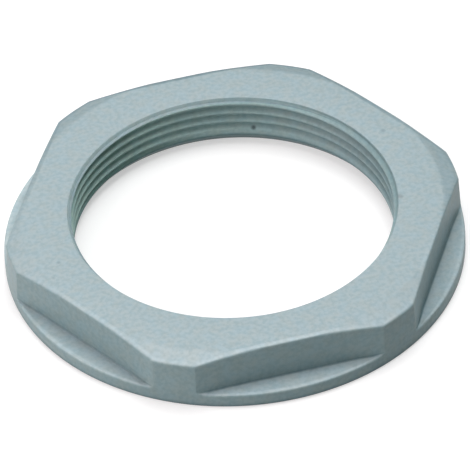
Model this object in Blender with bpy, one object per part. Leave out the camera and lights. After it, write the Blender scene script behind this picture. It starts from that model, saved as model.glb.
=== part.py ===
# Hexagonal locknut with a round collar and an internal thread, moulded in one piece.
# Metres, +Z up. The origin is on the thread's axis in the seating face, and two flats face +Y and -Y.

import math

import bmesh
import bpy

# Thread
THREAD_DIAMETER = 0.0474       # at the roots
THREAD_PITCH = 0.0015875       # 16 turns to the inch
THREAD_LAND = 0.0002           # flat left at each root and each crest
THREAD_FLANK_ANGLE = math.radians(44)  # between a flank and a plane across the axis
THREAD_START_ANGLE = math.radians(-22)  # where a root carried down would cross the seating face
THREAD_START_HEIGHT = 0.0020   # of the root where the groove starts
THREAD_RUN_IN = 0.00035        # height over which it grows to its full depth

# Ends of the thread: a chamfer and a shoulder at the top, and a lead-in cone at the seating face
CHAMFER_CLEARANCE = 0.00008    # how far the chamfer opens past the roots at the top face
CHAMFER_DEPTH = 0.0005
CHAMFER_ANGLE = math.radians(62)   # between the chamfer and the top face
SHOULDER_ANGLE = math.radians(20)  # slope of the shoulder from the chamfer's foot in to the crests
LEAD_IN_REACH = 0.0014         # how far the lead-in cone opens past the crests
LEAD_IN_ANGLE = math.radians(52)   # between the cone and the seating face
MOUTH_RADIUS = 0.00008         # softened edge where each cone meets its face

# Outside
HEIGHT = 0.0084
WALL_AT_FLATS = 0.0063         # from the thread's roots to the middle of a flat
COLLAR_OVERHANG = 0.0032       # how far the collar stands out past the middle of a flat
COLLAR_THICKNESS = 0.0022
CORNER_INSET = 0.0002          # how far the rounded corners stand in from the collar's rim
CREASE_RADIUS = 0.0005         # fillet where a flat meets the collar
TOP_RING_WIDTH = 0.0029        # flat part of the top, measured from the thread's roots
BRIM_ANGLE = math.radians(3)   # gentle slope of the top outside that ring
CROWN_OFFSET = 0.0002          # how far outside the middle of a flat the cone of the crown starts
CROWN_ANGLE = math.radians(19)  # slope of that cone, which takes the top of the corners down
EDGE_RADIUS = 0.00025          # softened outer edges of the moulding

# Fineness of the round shapes
SIDES = 96                     # of the thread
FLAT_STEPS = 16                # sections along each flat
CORNER_STEPS = 4               # sections round each corner
CREASE_STEPS = 5
EDGE_STEPS = 2

root_radius = THREAD_DIAMETER / 2
thread_depth = (THREAD_PITCH / 2 - THREAD_LAND) / math.tan(THREAD_FLANK_ANGLE)
crest_radius = root_radius - thread_depth
pilot_radius = crest_radius - thread_depth
flat_distance = root_radius + WALL_AT_FLATS
collar_radius = flat_distance + COLLAR_OVERHANG
corner_radius = collar_radius - CORNER_INSET
brim_start = root_radius + TOP_RING_WIDTH
crown_start = flat_distance + CROWN_OFFSET


def clear_scene():
    for existing in list(bpy.data.objects):
        bpy.data.objects.remove(existing, do_unlink=True)


def moulded_plastic():
    material = bpy.data.materials.new("grey_polyamide")
    material.use_nodes = True
    shader = material.node_tree.nodes["Principled BSDF"]
    shader.inputs["Base Color"].default_value = (0.38, 0.45, 0.47, 1.0)
    shader.inputs["Roughness"].default_value = 0.6
    shader.inputs["Metallic"].default_value = 0.0
    return material


def object_from(name, build):
    """Make a named object from a closed bmesh, with its faces pointing out."""
    bmesh.ops.recalc_face_normals(build, faces=build.faces)
    mesh = bpy.data.meshes.new(name)
    build.to_mesh(mesh)
    build.free()
    made = bpy.data.objects.new(name, mesh)
    bpy.context.scene.collection.objects.link(made)
    return made


def section_angles():
    """Angles of the sections all the way round, closer together towards the ends of each flat."""
    half_flat = math.acos(flat_distance / corner_radius)
    half_corner = math.pi / 6 - half_flat
    angles = []
    for flat in range(6):
        middle = math.pi / 6 + flat * math.pi / 3
        for step in range(FLAT_STEPS):
            angles.append(middle + half_flat * math.sin(math.pi * (step / FLAT_STEPS - 0.5)))
        for step in range(CORNER_STEPS):
            angles.append(middle + half_flat + 2 * half_corner * step / CORNER_STEPS)
    return angles


def side_distance(angle):
    """How far the side of the nut lies from the axis: along a flat, or round a corner."""
    from_middle = angle % (math.pi / 3) - math.pi / 6
    return min(flat_distance / math.cos(from_middle), corner_radius)


def top_height(distance):
    """Height of the top at a distance from the axis: flat, then falling gently, then along the crown's cone."""
    gentle_fall = (min(distance, crown_start) - brim_start) * math.tan(BRIM_ANGLE)
    steep_fall = (distance - crown_start) * math.tan(CROWN_ANGLE)
    return HEIGHT - max(gentle_fall, 0.0) - max(steep_fall, 0.0)


def ledge_height(distance, side):
    """Height of the collar's upper face, which rises into the crease fillet next to the side of the nut."""
    into_fillet = max(CREASE_RADIUS - (distance - side), 0.0)
    return COLLAR_THICKNESS + CREASE_RADIUS - math.sqrt(CREASE_RADIUS ** 2 - into_fillet ** 2)


def outer_section(side):
    """Points up the outside where the side lies at one distance: rim, ledge, crease, side, top edge and top."""
    points = []
    for step in range(EDGE_STEPS + 1):
        turn = 0.5 * math.pi * step / EDGE_STEPS
        points.append((
            collar_radius - EDGE_RADIUS * (1 - math.sin(turn)),
            EDGE_RADIUS * (1 - math.cos(turn)),
        ))
    # The ledge is narrow round the corners, and its rounded edge narrows with it
    ledge = collar_radius - side
    rim_radius = min(EDGE_RADIUS, ledge / 2)
    for step in range(EDGE_STEPS + 1):
        turn = 0.5 * math.pi * step / EDGE_STEPS
        distance = collar_radius - rim_radius * (1 - math.cos(turn))
        points.append((distance, ledge_height(distance, side) - rim_radius * (1 - math.sin(turn))))
    crease_turn = math.acos(1 - min(CREASE_RADIUS, ledge - rim_radius) / CREASE_RADIUS)
    for step in range(CREASE_STEPS + 1):
        turn = crease_turn * (1 - step / CREASE_STEPS)
        points.append((
            side + CREASE_RADIUS * (1 - math.cos(turn)),
            COLLAR_THICKNESS + CREASE_RADIUS * (1 - math.sin(turn)),
        ))
    for step in range(EDGE_STEPS + 1):
        turn = 0.5 * math.pi * step / EDGE_STEPS
        distance = side - EDGE_RADIUS * (1 - math.cos(turn))
        points.append((distance, top_height(distance) - EDGE_RADIUS * (1 - math.sin(turn))))
    for distance in (min(crown_start, side - 2 * EDGE_RADIUS), brim_start):
        points.append((distance, top_height(distance)))
    return points


def mouth_edge(mouth_radius, cone_angle):
    """Points from a face round a mouth's softened edge into its cone, as (distance, depth)."""
    edge_start = mouth_radius + MOUTH_RADIUS * math.tan(cone_angle / 2)
    points = []
    for step in range(EDGE_STEPS + 1):
        turn = cone_angle * step / EDGE_STEPS
        points.append((edge_start - MOUTH_RADIUS * math.sin(turn), MOUTH_RADIUS * (1 - math.cos(turn))))
    return points


def top_mouth():
    """Points down the mouth at the top face: chamfer, then the shoulder in to the pilot bore."""
    mouth_radius = root_radius + CHAMFER_CLEARANCE
    foot = mouth_radius - CHAMFER_DEPTH / math.tan(CHAMFER_ANGLE)
    points = mouth_edge(mouth_radius, CHAMFER_ANGLE)
    points.append((foot, CHAMFER_DEPTH))
    points.append((pilot_radius, CHAMFER_DEPTH + (foot - pilot_radius) * math.tan(SHOULDER_ANGLE)))
    return [(distance, HEIGHT - depth) for distance, depth in points]


def seat_mouth():
    """Points up the lead-in cone, from the pilot bore to the seating face."""
    mouth_radius = crest_radius + LEAD_IN_REACH
    points = mouth_edge(mouth_radius, LEAD_IN_ANGLE)
    points.append((pilot_radius, (mouth_radius - pilot_radius) * math.tan(LEAD_IN_ANGLE)))
    return points[::-1]


def lofted_blank():
    """The whole nut but for its thread: one closed section after another, lofted all the way round."""
    bore = top_mouth() + seat_mouth()
    build = bmesh.new()
    sections = []
    for angle in section_angles():
        points = outer_section(side_distance(angle)) + bore
        sections.append([build.verts.new((r * math.cos(angle), r * math.sin(angle), z)) for r, z in points])
    for here, following in zip(sections, sections[1:] + sections[:1]):
        for i in range(len(here)):
            j = (i + 1) % len(here)
            build.faces.new((here[i], following[i], following[j], here[j]))
    # Where the ledge is narrow, the crease fillet starts on its rounded edge and two points coincide
    bmesh.ops.remove_doubles(build, verts=build.verts, dist=0.0000001)
    return object_from("locknut", build)


def thread_core():
    """The screw-shaped core that leaves the thread: a root, a flank, a crest and a flank carried up a helix.

    Below the start of the thread it is a plain cylinder at the radius of the crests.
    """
    flank_rise = THREAD_PITCH / 2 - THREAD_LAND
    section = [
        (root_radius, 0.0),
        (root_radius, THREAD_LAND),
        (crest_radius, THREAD_LAND + flank_rise),
        (crest_radius, THREAD_LAND + flank_rise + THREAD_LAND),
    ]
    turns = math.ceil(HEIGHT / THREAD_PITCH) + 3
    lowest = -2 * THREAD_PITCH - THREAD_LAND / 2
    steps = turns * SIDES

    build = bmesh.new()

    def place(step, point):
        radius, rise = section[point]
        angle = THREAD_START_ANGLE + 2 * math.pi * step / SIDES
        height = lowest + THREAD_PITCH * step / SIDES
        grown = (height + THREAD_LAND / 2 - THREAD_START_HEIGHT) / THREAD_RUN_IN
        radius = crest_radius + (radius - crest_radius) * min(max(grown, 0.0), 1.0)
        return build.verts.new((radius * math.cos(angle), radius * math.sin(angle), height + rise))

    count = len(section)
    grid = [[place(step, point) for point in range(count)] for step in range(steps + 1)]
    grid += [[place(step, 0)] for step in range(steps + 1, steps + SIDES + 1)]

    def vertex(step, point):
        # The end of one turn's section is the start of the next turn's
        return grid[step + SIDES][0] if point == count else grid[step][point]

    for step in range(steps):
        for point in range(count):
            build.faces.new((
                vertex(step, point),
                vertex(step + 1, point),
                vertex(step + 1, point + 1),
                vertex(step, point + 1),
            ))

    # Each end is closed by a fan from the axis round its helical rim
    for first in (0, steps):
        rim = [vertex(first + step, 0) for step in range(SIDES)]
        rim += [vertex(first, point) for point in range(count, 0, -1)]
        middle = build.verts.new((0.0, 0.0, lowest + THREAD_PITCH * (first / SIDES + 0.5)))
        for i, corner in enumerate(rim):
            build.faces.new((corner, rim[(i + 1) % len(rim)], middle))
    bmesh.ops.triangulate(build, faces=build.faces)
    return object_from("thread_core", build)


def cut(target, cutter):
    modifier = target.modifiers.new(cutter.name, "BOOLEAN")
    modifier.operation = "DIFFERENCE"
    modifier.object = cutter
    cutter.hide_render = True
    cutter.display_type = "WIRE"


def main():
    clear_scene()
    locknut = lofted_blank()
    cut(locknut, thread_core())
    locknut.data.materials.append(moulded_plastic())
    locknut.data.shade_smooth()
    locknut.data.set_sharp_from_angle(angle=math.radians(20))


main()
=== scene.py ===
import math

import bpy
import numpy as np
from mathutils import Matrix, Vector


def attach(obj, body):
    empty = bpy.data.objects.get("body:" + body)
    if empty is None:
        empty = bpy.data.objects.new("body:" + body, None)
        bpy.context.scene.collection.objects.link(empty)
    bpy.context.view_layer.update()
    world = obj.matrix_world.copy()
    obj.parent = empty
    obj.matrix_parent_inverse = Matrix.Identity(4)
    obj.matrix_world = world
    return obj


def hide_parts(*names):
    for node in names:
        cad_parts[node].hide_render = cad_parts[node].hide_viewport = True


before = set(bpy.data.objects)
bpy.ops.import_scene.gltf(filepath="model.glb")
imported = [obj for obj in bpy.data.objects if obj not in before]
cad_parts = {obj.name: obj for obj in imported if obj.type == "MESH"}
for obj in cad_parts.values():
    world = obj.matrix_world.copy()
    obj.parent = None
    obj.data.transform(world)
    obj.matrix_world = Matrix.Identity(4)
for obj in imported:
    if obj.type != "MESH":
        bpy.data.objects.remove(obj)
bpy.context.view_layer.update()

print("packed solid loaded")


# Locknut: one moulded ring, six flats standing on a round collar, a thread inside

nut = {
    "acrossFlats": 0.0600,
    "collarRadius": 0.0332,
    "cornerRadius": 0.0330,     # rounded corners between the flats
    "collarThickness": 0.0022,
    "height": 0.0084,
    "creaseRadius": 0.0003,     # fillet at the foot of a flat
    "edgeRadius": 0.00025,      # outer edges, softened by the mould
    "uprightSoftness": 0.00003,     # rounding of the upright edges beside each flat
    "cornerLean": 0.0002,       # a corner's foot stands out to the rim's side by the mould's draft
    "leanFade": 9.0,            # degrees along a flat over which that lean fades out
    "brimRadius": 0.0266,       # the top is flat as far as this, then falls gently
    "brimAngle": 3.0,
    "brimSoftness": 0.0006,
    "crownOffset": 0.0002,      # the crown's cone starts this far outside the middle of a flat
    "crownAngle": 19.0,
    "crownSoftness": 0.0001,
}

thread = {
    "rootRadius": 0.0237,
    "pitch": 0.0015875,
    "land": 0.0002,             # flat at each root and crest
    "flankAngle": 44.0,
    "startAngle": -22.0,        # where a root crosses the seating face
    "softness": 0.0001,         # rounding of roots and crests
    "firstRoot": 0.0020,        # height where the groove starts
    "runIn": 0.00016,           # height over which it grows to its full depth
    "chamferRadius": 0.02378,   # of the chamfer where it meets the top face, just wider than the roots
    "chamferDepth": 0.0005,
    "chamferAngle": 62.0,       # of the chamfer's wall
    "shoulderAngle": 20.0,      # of the shoulder under it
    "shoulderDepth": 0.0004,    # below the chamfer, where the rows are close
    "seatReach": 0.0014,        # how far the mouth at the seating face opens past the crests
    "seatAngle": 52.0,
    "coneSoftness": 0.00006,    # rounding where the chamfer, the shoulder and the mouth cut the thread
    "mouthRadius": 0.00008,     # softened edge where each mouth meets its face
    "faceOverlap": 0.0004,      # width of the flat rows round each mouth
}

paintedLight = {                        # painted light and shade for the shade attribute, -2 darkest, 0 plain, 2 palest: painted shadow at the rim's foot, in the crease, at the bore's foot and in the roots, painted highlight on the lit edges, the crown and the crests
    "rimFoot": -1.3,
    "rimEdge": 0.5,
    "crease": -1.2,
    "topEdge": 0.75,
    "backEdge": -1.3,
    "edgeFoot": 0.2,            # share of that shade at the lower side of the edge
    "crown": 0.4,
    "backCrown": -0.65,
    "litAngle": -103.0,         # the lit side, whose edges and crown get a painted highlight (topEdge, crown), with a painted shade (backEdge, backCrown) opposite
    "chamfer": 0.1,
    "shoulder": -1.0,
    "crest": 0.6,
    "root": -0.45,
    "seatMouth": -1.9,
    "farSide": {"chamfer": 1.3, "shoulder": 0.5, "crest": 1.1, "root": 0.85},   # painted light added where the bore faces +X
    "nearSide": {"chamfer": 1.0, "crest": 0.7, "root": 0.8},    # painted shade, taken off where it faces -X
    "sideStart": 0.26,          # cosine of a section's angle at which the one gives way to the other
    "farFade": 0.6,             # change of that cosine over which the far side's shade comes in
    "coneFade": 0.00005,        # metres of radius over which the thread's shade gives way to a cone's
    "seatFade": 0.0004,
    "wideLedge": 0.0008,        # a ledge of this width has the full painted highlight on its rim and the full painted shade in its crease
    "tintLevel": 0.55,          # strength of the thread's tint, a painted greenish light
    "tintSwing": 0.6,           # taken off it times that cosine, so that it is strongest where the bore faces +X
    "leastTint": 0.001,         # keeps the whole thread above zero, as the mark of being in it
}

rowPlaces = {                   # where rows lie between the rounded edges, and what shade they still have
    "underRim": 2.2,            # edge radii in from the rim
    "rimFoot": 1.5,             # edge radii up the rim, half as dark
    "rimPlain": 3.0,            # edge radii up the rim, plain
    "rimTop": 1.5,              # edge radii below the ledge
    "ledge": ((0.08, 1), (0.2, 0), (0.6, 0), (0.9, 0)),     # shares of the ledge's width
    "creaseShare": 0.6,         # most of a narrow ledge that its crease may take
    "noLedge": 0.00003,         # width under which a ledge is no ledge
    "wallFoot": 0.00012,        # above the crease
    "wallLow": 0.0008,
    "leanLeft": 0.8,            # share of the lean that is left there
    "wallTop": 0.0003,          # below the top edge
    "edgeEnd": 0.0002,          # in from the top edge
    "crownStart": 0.0005,
    "crownFade": 0.0006,        # width inside the crown over which its shade fades out
    "crownEnd": 0.0009,         # least distance in from the top edge of the crown's last row
    "topOverlap": 0.001,        # how far the last row lies inside the brim
}

fineness = {
    "flatColumns": 44,          # sections along each flat
    "cornerColumns": 16,        # sections round each corner
    "arcRows": 5,
    "creaseRows": 7,
    "crownRows": 8,
    "brimRows": 8,
    "chamferRows": 8,
    "shoulderRows": 24,
    "threadRows": 149,
}


def sectionAngles():
    # angle = middle of a flat + half its span * sin(pi/2 * u), u from -1 to 1, so sections crowd at its ends;
    # the corners between the flats are filled the same way
    halfFlat = math.acos(nut["acrossFlats"] / 2 / nut["cornerRadius"])
    halfCorner = math.pi / 6 - halfFlat
    flatSteps = np.linspace(-1, 1, fineness["flatColumns"] + 1)[:-1]
    cornerSteps = np.linspace(-1, 1, fineness["cornerColumns"] + 1)[:-1]
    sector = np.concatenate([
        math.pi / 6 + halfFlat * np.sin(flatSteps * math.pi / 2),
        math.pi / 3 + halfCorner * np.sin(cornerSteps * math.pi / 2),
    ])
    return np.concatenate([sector + k * math.pi / 3 for k in range(6)])


def smoothStep(share):
    # 3 s^2 - 2 s^3, which leaves 0 and meets 1 with no slope
    return share * share * (3 - 2 * share)


def quarterTurns():
    return np.linspace(0, math.pi / 2, fineness["arcRows"] + 1)


def sideDistance(angle):
    # distance of the nut's side from the axis: a flat's half width over the cosine, held to the corners' radius
    # by a smooth minimum (a + b - sqrt((a - b)^2 + s^2)) / 2
    fromMiddle = np.mod(angle, math.pi / 3) - math.pi / 6
    flat = nut["acrossFlats"] / 2 / np.cos(fromMiddle)
    gap = flat - nut["cornerRadius"]
    return (flat + nut["cornerRadius"] - np.sqrt(gap ** 2 + nut["uprightSoftness"] ** 2)) / 2


def footDistance(angle, side):
    # distance of the wall's foot: side + lean * smooth step of the nearness to a corner
    halfFlat = math.acos(nut["acrossFlats"] / 2 / nut["cornerRadius"])
    fromCorner = halfFlat - np.abs(np.mod(angle, math.pi / 3) - math.pi / 6)
    near = np.clip(1 - fromCorner / math.radians(nut["leanFade"]), 0, 1)
    return side + nut["cornerLean"] * smoothStep(near)


def crownHeight(distance):
    # flat top, then two cones: height - slope * smooth positive part of (distance - start) for each;
    # the smooth part is a parabola within the softness of the start, and exact beyond it
    gentle = math.tan(math.radians(nut["brimAngle"]))
    steep = math.tan(math.radians(nut["crownAngle"]))
    fall = 0
    for start, slope, soft in (
        (nut["brimRadius"], gentle, nut["brimSoftness"]),
        (nut["acrossFlats"] / 2 + nut["crownOffset"], steep - gentle, nut["crownSoftness"]),
    ):
        past = distance - start
        near = np.clip(past + soft, 0, 2 * soft)
        fall = fall + slope * np.where(past > soft, past, near ** 2 / (4 * soft))
    return nut["height"] - fall


def ledgeHeight(distance, foot):
    # collar's upper face, with a quarter circle rising to the wall: t + c - sqrt(c^2 - (c - outward)^2)
    crease = nut["creaseRadius"]
    into = np.clip(crease - (distance - foot), 0, crease)
    return nut["collarThickness"] + crease - np.sqrt(crease ** 2 - into ** 2)


def rimRows():
    # up the rim: the seating face, a quarter circle, radius - e (1 - sin) at e (1 - cos), then the upright face
    radius = nut["collarRadius"]
    edge = nut["edgeRadius"]
    # the rim's foot gets a painted shadow, half as dark a little higher up and none above that
    dark = paintedLight["rimFoot"]
    rows = [(radius - rowPlaces["underRim"] * edge, 0, dark)]
    for turn in quarterTurns():
        rows.append((radius - edge * (1 - math.sin(turn)), edge * (1 - math.cos(turn)), dark))
    rows.append((radius, edge * rowPlaces["rimFoot"], dark * 0.5))
    rows.append((radius, edge * rowPlaces["rimPlain"], 0))
    rows.append((radius, nut["collarThickness"] - edge * rowPlaces["rimTop"], 0))
    return rows


def ledgeRows(foot):
    # over the ledge: a quarter circle laid under the ledge's own height and no wider than half the ledge, then
    # the ledge, then the crease's quarter circle up to the wall, foot + c (1 - cos) at thickness + c (1 - sin)
    radius = nut["collarRadius"]
    edge = nut["edgeRadius"]
    crease = nut["creaseRadius"]
    thickness = nut["collarThickness"]
    ledge = radius - foot
    # painted highlight along the ledge's rim and painted shade in its crease, both full only on a wide ledge
    wide = np.clip(ledge / paintedLight["wideLedge"], 0, 1)
    pale = paintedLight["rimEdge"] * wide
    rim = np.minimum(edge, ledge / 2)
    shelf = []
    for turn in quarterTurns():
        distance = radius - rim * (1 - math.cos(turn))
        shelf.append((distance, ledgeHeight(distance, foot) - rim * (1 - math.sin(turn)), pale))
    toe = np.minimum(crease, (ledge - rim) * rowPlaces["creaseShare"])
    for part, paleLeft in rowPlaces["ledge"]:
        distance = (radius - rim) * (1 - part) + (foot + toe) * part
        shelf.append((distance, ledgeHeight(distance, foot), pale * paleLeft))
    toeTurn = np.arccos(1 - toe / crease)
    for part in np.linspace(1, 0, fineness["creaseRows"] + 1):
        turn = toeTurn * part
        shelf.append((foot + crease * (1 - np.cos(turn)), thickness + crease * (1 - np.sin(turn)),
                      paintedLight["crease"] * wide * math.sin(math.pi * part)))
    # where a flat runs out the ledge has no width, and its rows spread evenly up the corner's face instead
    spread = smoothStep(np.clip(1 - ledge / rowPlaces["noLedge"], 0, 1))
    rows = []
    for index, (distance, height, shade) in enumerate(shelf):
        even = thickness - edge + (crease + edge) * (index + 0.5) / len(shelf)
        rows.append((distance, height * (1 - spread) + even * spread, shade))
    return rows


def wallRows(foot, side):
    # up the wall: its foot leans out to the collar at the corners, and its top ends under the crown's edge
    ledgeTop = nut["collarThickness"] + nut["creaseRadius"]
    leaning = rowPlaces["leanLeft"]
    return [
        (foot, ledgeTop + rowPlaces["wallFoot"], 0),
        (foot * leaning + side * (1 - leaning), ledgeTop + rowPlaces["wallLow"], 0),
        (side, crownHeight(side) - nut["edgeRadius"] - rowPlaces["wallTop"], 0),
    ]


def crownRows(angle, side):
    # over the top edge, a quarter circle laid under the crown's own height, then in over the crown and the brim
    edge = nut["edgeRadius"]
    # painted highlight on the top edge and crown on the lit side, painted shade on them at the back
    lit = 0.5 + 0.5 * np.cos(angle - math.radians(paintedLight["litAngle"]))
    edgeShade = paintedLight["topEdge"] * lit + paintedLight["backEdge"] * (1 - lit)
    crownShade = paintedLight["crown"] * lit + paintedLight["backCrown"] * (1 - lit)
    rows = []
    for turn in quarterTurns():
        distance = side - edge * (1 - math.cos(turn))
        rows.append((distance, crownHeight(distance) - edge * (1 - math.sin(turn)),
                     edgeShade * (paintedLight["edgeFoot"] + (1 - paintedLight["edgeFoot"]) * math.sin(turn))))
    for inward, shade in ((rowPlaces["edgeEnd"], edgeShade), (rowPlaces["crownStart"], crownShade)):
        distance = side - edge - inward
        rows.append((distance, crownHeight(distance), shade))
    coneStart = nut["acrossFlats"] / 2 + nut["crownOffset"]
    outer = side - edge - rowPlaces["crownStart"]
    inner = np.minimum(coneStart - rowPlaces["crownFade"], side - edge - rowPlaces["crownEnd"])
    for part in np.linspace(0, 1, fineness["crownRows"] + 1)[1:]:
        distance = outer * (1 - part) + inner * part
        onCrown = np.clip((distance - coneStart) / rowPlaces["crownFade"], 0, 1)
        rows.append((distance, crownHeight(distance), crownShade * onCrown))
    for part in np.linspace(0, 1, fineness["brimRows"] + 1)[1:]:
        distance = inner * (1 - part) + (nut["brimRadius"] - rowPlaces["topOverlap"]) * part
        rows.append((distance, crownHeight(distance), 0))
    return rows


def outsideRows(angle):
    # rows of (distance, height, shade, in the thread) up the outside for every section at once
    side = sideDistance(angle)
    foot = footDistance(angle, side)
    one = np.ones_like(angle)
    rows = rimRows() + ledgeRows(foot) + wallRows(foot, side) + crownRows(angle, side)
    return [(distance * one, height * one, shade * one, 0 * one) for distance, height, shade in rows]


def sunkFrom(fromRoot):
    # how far the thread stands in from its roots at a distance along the axis from the nearest root's middle:
    # clamped (distance - half a land) / tan(flank angle), with both corners rounded
    flank = math.tan(math.radians(thread["flankAngle"]))
    depth = (thread["pitch"] / 2 - thread["land"]) / flank
    soft = thread["softness"]
    raised = (fromRoot - thread["land"] / 2) / flank
    raised = (raised + np.sqrt(raised ** 2 + soft ** 2)) / 2
    return (raised + depth - np.sqrt((raised - depth) ** 2 + soft ** 2)) / 2


crestRadius = thread["rootRadius"] - (thread["pitch"] / 2 - thread["land"]) \
    / math.tan(math.radians(thread["flankAngle"]))


def coneRadii(height):
    # the chamfer with its shoulder narrows downwards from the top face, and the mouth from the seating face:
    # radius - depth / tan(angle) for each
    depth = nut["height"] - height
    chamfer = min(depth, thread["chamferDepth"]) / math.tan(math.radians(thread["chamferAngle"]))
    shoulder = max(depth - thread["chamferDepth"], 0) / math.tan(math.radians(thread["shoulderAngle"]))
    mouth = height / math.tan(math.radians(thread["seatAngle"]))
    return thread["chamferRadius"] - chamfer - shoulder, crestRadius + thread["seatReach"] - mouth


def boreRadius(angle, height):
    # the roots climb one pitch in each turn, and the first groove grows from nothing; a cone wins wherever it
    # is wider, by a smooth maximum (a + b + sqrt((a - b)^2 + s^2)) / 2
    pitch = thread["pitch"]
    turn = angle / (2 * math.pi) - thread["startAngle"] / 360
    along = height / pitch - turn
    nearest = np.round(along)
    grown = smoothStep(np.clip(((nearest + turn) * pitch - thread["firstRoot"]) / thread["runIn"], 0, 1))
    crest = sunkFrom(pitch / 2)
    wall = thread["rootRadius"] - crest + (crest - sunkFrom(np.abs(along - nearest) * pitch)) * grown
    topCone, seatCone = coneRadii(height)
    cone = np.maximum(topCone, seatCone)
    radius = (wall + cone + np.sqrt((wall - cone) ** 2 + thread["coneSoftness"] ** 2)) / 2
    return radius, *boreShade(angle, height, wall, topCone, seatCone)


def boreShade(angle, height, wall, topCone, seatCone):
    # painted light and shade, mixed from the crests' painted highlight to the roots' painted shade by the wall's
    # place between them, then given way to that of a cone where the cone is wider, with a painted shadow at the
    # seating mouth; each part has more painted light where the bore faces +X and more painted shade where it faces
    # -X
    cosine = np.cos(angle)      # 1 where the bore faces -X
    far = np.clip((paintedLight["sideStart"] - cosine) / paintedLight["farFade"], 0, 1)
    near = np.clip(cosine - paintedLight["sideStart"], 0, 1)
    farSide = paintedLight["farSide"]
    nearSide = paintedLight["nearSide"]
    crestShade = paintedLight["crest"] + farSide["crest"] * far - nearSide["crest"] * near
    rootShade = paintedLight["root"] + farSide["root"] * far - nearSide["root"] * near
    low = np.clip((wall - crestRadius) / (thread["rootRadius"] - crestRadius), 0, 1)
    shade = crestShade * (1 - low) + rootShade * low
    coneName = "chamfer" if nut["height"] - height < thread["chamferDepth"] else "shoulder"
    coneShade = paintedLight[coneName] + farSide[coneName] * far - nearSide["chamfer"] * near
    onCone = np.clip((topCone - wall) / paintedLight["coneFade"] + 0.5, 0, 1)
    shade = shade * (1 - onCone) + coneShade * onCone
    onSeat = np.clip((seatCone - wall) / paintedLight["seatFade"] + 1, 0, 1)
    shade = shade * (1 - onSeat) + paintedLight["seatMouth"] * onSeat
    # the thread's painted greenish light, strongest where the bore faces +X
    tint = np.clip(paintedLight["tintLevel"] - paintedLight["tintSwing"] * cosine, paintedLight["leastTint"], 1)
    return shade, (1 - onCone) * tint


def boreRows(angle):
    # rows down the bore; within the mouth radius m of each face the wall flares out to meet it by a quarter
    # circle, m (1 - cos) outwards at m (1 - sin) from the face
    one = np.ones_like(angle)
    soft = thread["mouthRadius"]
    overlap = soft + thread["faceOverlap"]
    turns = quarterTurns()
    top = [(nut["height"] - soft * (1 - math.sin(turn)), soft * (1 - math.cos(turn))) for turn in turns[::-1]]
    seat = [(soft * (1 - math.sin(turn)), soft * (1 - math.cos(turn))) for turn in turns]
    shoulder = nut["height"] - thread["chamferDepth"]
    shoulderEnd = shoulder - thread["shoulderDepth"]
    heights = np.concatenate([
        np.linspace(top[-1][0], shoulder, fineness["chamferRows"] + 1)[1:],
        np.linspace(shoulder, shoulderEnd, fineness["shoulderRows"] + 1)[1:],
        np.linspace(shoulderEnd, seat[0][0], fineness["threadRows"] + 1)[1:-1],
    ])
    rows = [(boreRadius(angle, nut["height"])[0] + overlap, nut["height"] * one, 0 * one, 0 * one)]
    for height, flare in top + [(height, 0) for height in heights] + seat:
        radius, shade, inThread = boreRadius(angle, height)
        if height > shoulder:       # the chamfer's painted light fades out over the flare
            shade = shade * (1 - flare / soft) ** 2
        rows.append((radius + flare, height * one, shade, inThread))
    rows.append((boreRadius(angle, 0)[0] + overlap, 0 * one, 0 * one, 0 * one))
    return rows


def closedGrid(name, points):
    # points[row, column] form a surface that closes on itself both ways, like a torus
    rowCount, columnCount = points.shape[:2]
    index = np.arange(rowCount * columnCount).reshape(rowCount, columnCount)
    nextRow = np.roll(index, -1, axis=0)
    nextColumn = np.roll(index, -1, axis=1)
    corner = np.roll(nextRow, -1, axis=1)
    quads = np.stack([index, nextColumn, corner, nextRow], -1).reshape(-1, 4)
    mesh = bpy.data.meshes.new(name)
    mesh.vertices.add(rowCount * columnCount)
    mesh.vertices.foreach_set("co", points.reshape(-1).astype(np.float32))
    mesh.loops.add(quads.size)
    mesh.loops.foreach_set("vertex_index", quads.reshape(-1).astype(np.int32))
    mesh.polygons.add(len(quads))
    mesh.polygons.foreach_set("loop_start", np.arange(0, quads.size, 4, dtype=np.int32))
    mesh.polygons.foreach_set("use_smooth", np.ones(len(quads), dtype=bool))
    mesh.update(calc_edges=True)
    mesh.validate()
    piece = bpy.data.objects.new(name, mesh)
    bpy.context.scene.collection.objects.link(piece)
    return piece


def buildNut():
    # each row's point on a section is (distance * cos(angle), distance * sin(angle), height); a surface is marked
    # upright by 1 - |its normal's height|, so that the painted shade of upright faces stays off the top, and the
    # thread counts as upright
    angle = sectionAngles()
    rows = outsideRows(angle) + boreRows(angle)
    distance, height, shade, inThread = (np.array([row[k] for row in rows]) for k in range(4))
    points = np.stack([distance * np.cos(angle), distance * np.sin(angle), height], -1)
    piece = closedGrid("mouldedNut", points)
    normals = np.zeros(points.size)
    piece.data.vertices.foreach_get("normal", normals)
    steep = 1 - np.abs(normals.reshape(-1, 3)[:, 2])
    steep = np.maximum(steep, np.clip(inThread.reshape(-1) / paintedLight["leastTint"], 0, 1))
    for name, values in (("shade", shade.reshape(-1)), ("upright", steep), ("thread", inThread.reshape(-1))):
        attribute = piece.data.attributes.new(name, "FLOAT", "POINT")
        attribute.data.foreach_set("value", values.astype(np.float32))
    return piece


# Moulded plastic

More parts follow.
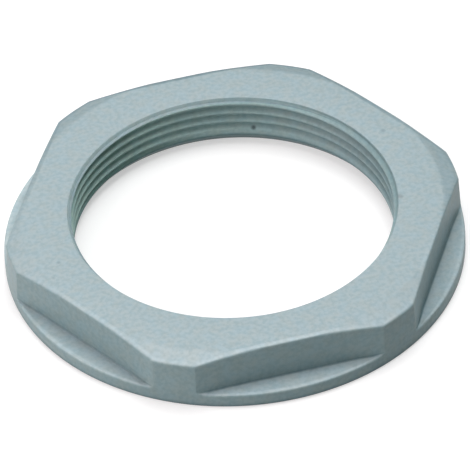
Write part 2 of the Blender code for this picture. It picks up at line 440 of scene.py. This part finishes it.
plastic = {
    "colour": (0.358, 0.434, 0.457),
    "darkFleck": (0.306, 0.384, 0.407),
    "warmPatch": (1.034, 0.996, 0.972),
    "coolPatch": (0.966, 1.002, 1.028),
    # multipliers at the full painted shade and the full painted highlight of the shade attribute
    "paintedShadeTint": (0.28, 0.405, 0.43),
    "paintedHighlightTint": (1.64, 1.60, 1.58),
    # painted teal shade on upright faces, by their steepness
    "uprightPaintedShade": (0.840, 0.945, 0.932),
    # painted greenish light on the thread
    "threadPaintedLight": (1.0, 1.075, 0.975),
    "mottle": {"size": 1550.0, "detail": 4, "range": (0.35, 0.60)},     # flecks, by noise between these values
    "patches": {"size": 600.0, "detail": 2, "range": (0.35, 0.65)},
    "grain": {"size": 5200.0, "detail": 2, "depth": 0.000012, "strength": 0.6},
    "paintedShadeRange": (-2, 2),       # shade attribute from the full painted shade to the full painted highlight
    "uprightRange": (0.15, 0.6),    # upright attribute from no painted shade to the full painted shade
    "marks": {                  # small dark spots: place, radius and how dark
        "pitInThread": ((0.00879, 0.02147, 0.00311), 0.00050, 0.32),
        "nickAtMouth": ((0.02342, -0.00545, 0.00840), 0.00060, 0.74),
        "spotRight": ((0.02515, 0.00904, 0.00840), 0.00045, 0.80),
        "spotLeft": ((-0.02683, -0.00413, 0.00840), 0.00035, 0.84),
        "spotLeftOuter": ((-0.02829, -0.00699, 0.00840), 0.00035, 0.84),
    },
    "markCore": 0.35,           # share of a mark's radius that is fully dark
    "roughness": 0.45,
    "specular": 0.25,
}


def mouldedPlastic():
    # flecked grey, multiplied by the patches, by the painted light and shade of the shade attribute, by the
    # painted shade of upright faces and the painted light of the thread, and by each mark, with a fine grain as
    # bump
    material = bpy.data.materials.new("greyPolyamide")
    material.use_nodes = True
    nodes = material.node_tree.nodes
    links = material.node_tree.links
    shader = nodes["Principled BSDF"]
    place = nodes.new("ShaderNodeTexCoord")
    white = (1, 1, 1)

    def noise(pattern):
        node = nodes.new("ShaderNodeTexNoise")
        node.inputs["Scale"].default_value = pattern["size"]
        node.inputs["Detail"].default_value = pattern["detail"]
        links.new(place.outputs["Object"], node.inputs["Vector"])
        return node.outputs["Fac"]

    def spread(value, low, high):
        node = nodes.new("ShaderNodeMapRange")
        node.inputs["From Min"].default_value = low
        node.inputs["From Max"].default_value = high
        links.new(value, node.inputs["Value"])
        return node.outputs["Result"]

    def between(first, second, factor):
        node = nodes.new("ShaderNodeMix")
        node.data_type = "RGBA"
        node.inputs[6].default_value = (*first, 1)
        node.inputs[7].default_value = (*second, 1)
        links.new(factor, node.inputs["Factor"])
        return node.outputs[2]

    def tinted(colour, tint):
        node = nodes.new("ShaderNodeMix")
        node.data_type = "RGBA"
        node.blend_type = "MULTIPLY"
        node.inputs["Factor"].default_value = 1
        links.new(colour, node.inputs[6])
        links.new(tint, node.inputs[7])
        return node.outputs[2]

    def attribute(name):
        node = nodes.new("ShaderNodeAttribute")
        node.attribute_name = name
        return node.outputs["Fac"]

    flecks = spread(noise(plastic["mottle"]), *plastic["mottle"]["range"])
    patches = spread(noise(plastic["patches"]), *plastic["patches"]["range"])
    colour = between(plastic["darkFleck"], plastic["colour"], flecks)
    for first, second, factor in (
        (plastic["warmPatch"], plastic["coolPatch"], patches),
        (plastic["paintedShadeTint"], plastic["paintedHighlightTint"], spread(attribute("shade"), *plastic["paintedShadeRange"])),
        (white, plastic["uprightPaintedShade"], spread(attribute("upright"), *plastic["uprightRange"])),
        (white, plastic["threadPaintedLight"], attribute("thread")),
    ):
        colour = tinted(colour, between(first, second, factor))
    for where, radius, dark in plastic["marks"].values():
        away = nodes.new("ShaderNodeVectorMath")
        away.operation = "DISTANCE"
        away.inputs[1].default_value = where
        links.new(place.outputs["Object"], away.inputs[0])
        outward = spread(away.outputs["Value"], radius * plastic["markCore"], radius)
        colour = tinted(colour, between((dark, dark, dark), white, outward))
    links.new(colour, shader.inputs["Base Color"])

    bump = nodes.new("ShaderNodeBump")
    bump.inputs["Strength"].default_value = plastic["grain"]["strength"]
    bump.inputs["Distance"].default_value = plastic["grain"]["depth"]
    links.new(noise(plastic["grain"]), bump.inputs["Height"])
    links.new(bump.outputs["Normal"], shader.inputs["Normal"])
    shader.inputs["Roughness"].default_value = plastic["roughness"]
    shader.inputs["Specular IOR Level"].default_value = plastic["specular"]
    return material


nutPiece = buildNut()
nutPiece.data.materials.append(mouldedPlastic())
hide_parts("locknut")
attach(nutPiece, "root")
print("nut made,", len(nutPiece.data.polygons) * 2, "triangles")


# Floor, light and camera

studio = {
    "floorSize": 3.0,
    "floorDrop": 0.00002,       # just under the seating face, so that the two don't share a plane
    "floorColour": (0.55, 0.55, 0.55),
    "floorRoughness": 0.9,
    "floorSpecular": 0.1,
    "seenGlow": 0.49,           # added where the camera sees the floor, so that it is white but keeps its shadow
    "lampSize": 0.45,
    "lampDistance": 0.9,
    "lamps": {                  # azimuth and elevation that each softbox shines from, its power and its warmth
        "overhead": (0, 90, 1.62, 0.00),
        "overheadFront": (0, 75, 0.45, 0.00),
        "overheadRight": (121, 75, 3.40, 0.00),
        "overheadLeft": (270, 75, 0.76, 0.00),
        "left": (270, 32, 2.12, 0.17),
        "leftLow": (270, 12, 0.42, 0.18),
        "frontLeft": (302, 32, 2.02, 0.08),
        "behind": (180, 58, 1.75, 0.00),
        "behindRight": (135, 58, 0.64, 0.00),
    },
}

view = {
    "azimuth": -13.17,
    "elevation": 41.78,
    "roll": -3.19,
    "target": (0.00078, 0.00293, 0.0),
    "distance": 0.9672,
    "lens": 512.7,
    "sensor": 36.0,
    "clipEnd": 20.0,
}


def makeFloor():
    # a pale level square, with the glow added by the greatest of the camera, glossy and transmission rays
    half = studio["floorSize"] / 2
    low = -studio["floorDrop"]
    corners = [(-half, -half, low), (half, -half, low), (half, half, low), (-half, half, low)]
    mesh = bpy.data.meshes.new("floor")
    mesh.from_pydata(corners, [], [(0, 1, 2, 3)])
    floor = bpy.data.objects.new("floor", mesh)
    bpy.context.scene.collection.objects.link(floor)
    material = bpy.data.materials.new("whiteTable")
    material.use_nodes = True
    nodes = material.node_tree.nodes
    links = material.node_tree.links
    shader = nodes["Principled BSDF"]
    shader.inputs["Base Color"].default_value = (*studio["floorColour"], 1)
    shader.inputs["Roughness"].default_value = studio["floorRoughness"]
    shader.inputs["Specular IOR Level"].default_value = studio["floorSpecular"]

    def combined(operation, first, second):
        node = nodes.new("ShaderNodeMath")
        node.operation = operation
        links.new(first, node.inputs[0])
        if isinstance(second, float):
            node.inputs[1].default_value = second
        else:
            links.new(second, node.inputs[1])
        return node.outputs[0]

    rays = nodes.new("ShaderNodeLightPath").outputs
    bounced = combined("MAXIMUM", rays["Is Glossy Ray"], rays["Is Transmission Ray"])
    seen = combined("MAXIMUM", rays["Is Camera Ray"], bounced)
    shader.inputs["Emission Color"].default_value = (1, 1, 1, 1)
    links.new(combined("MULTIPLY", seen, studio["seenGlow"]), shader.inputs["Emission Strength"])
    mesh.materials.append(material)


def towards(azimuth, elevation):
    # unit vector (sin a cos e, -cos a cos e, sin e); azimuth 0 is -Y and positive towards +X
    a, e = math.radians(azimuth), math.radians(elevation)
    return Vector((math.sin(a) * math.cos(e), -math.cos(a) * math.cos(e), math.sin(e)))


def makeLight():
    # each softbox is placed on a sphere round the nut and turned to face it
    world = bpy.data.worlds.new("studio")
    bpy.context.scene.world = world
    world.use_nodes = True
    world.node_tree.nodes["Background"].inputs["Strength"].default_value = 0
    for name, (azimuth, elevation, power, warmth) in studio["lamps"].items():
        away = towards(azimuth, elevation)
        data = bpy.data.lights.new(name, "AREA")
        data.shape = "DISK"
        data.size = studio["lampSize"]
        data.energy = power
        data.color = (1, 1 - warmth, 1 - warmth)
        lamp = bpy.data.objects.new(name, data)
        lamp.location = away * studio["lampDistance"]
        lamp.rotation_euler = away.to_track_quat("Z", "Y").to_euler()
        bpy.context.scene.collection.objects.link(lamp)


def makeCamera():
    # right, up and back axes from azimuth and elevation, then turned about the view by the roll
    back = towards(view["azimuth"], view["elevation"])
    a, roll = math.radians(view["azimuth"]), math.radians(view["roll"])
    level = Vector((math.cos(a), math.sin(a), 0))
    up = back.cross(level)
    right = level * math.cos(roll) + up * math.sin(roll)
    above = up * math.cos(roll) - level * math.sin(roll)
    data = bpy.data.cameras.new("camera")
    data.lens = view["lens"]
    data.sensor_width = view["sensor"]
    data.clip_end = view["clipEnd"]
    camera = bpy.data.objects.new("camera", data)
    turned = Matrix((right, above, back)).transposed().to_4x4()
    turned.translation = Vector(view["target"]) + back * view["distance"]
    camera.matrix_world = turned
    bpy.context.scene.collection.objects.link(camera)
    bpy.context.scene.camera = camera


makeFloor()
makeLight()
makeCamera()
bpy.context.scene.view_settings.view_transform = "Standard"
print("floor, light and camera set")
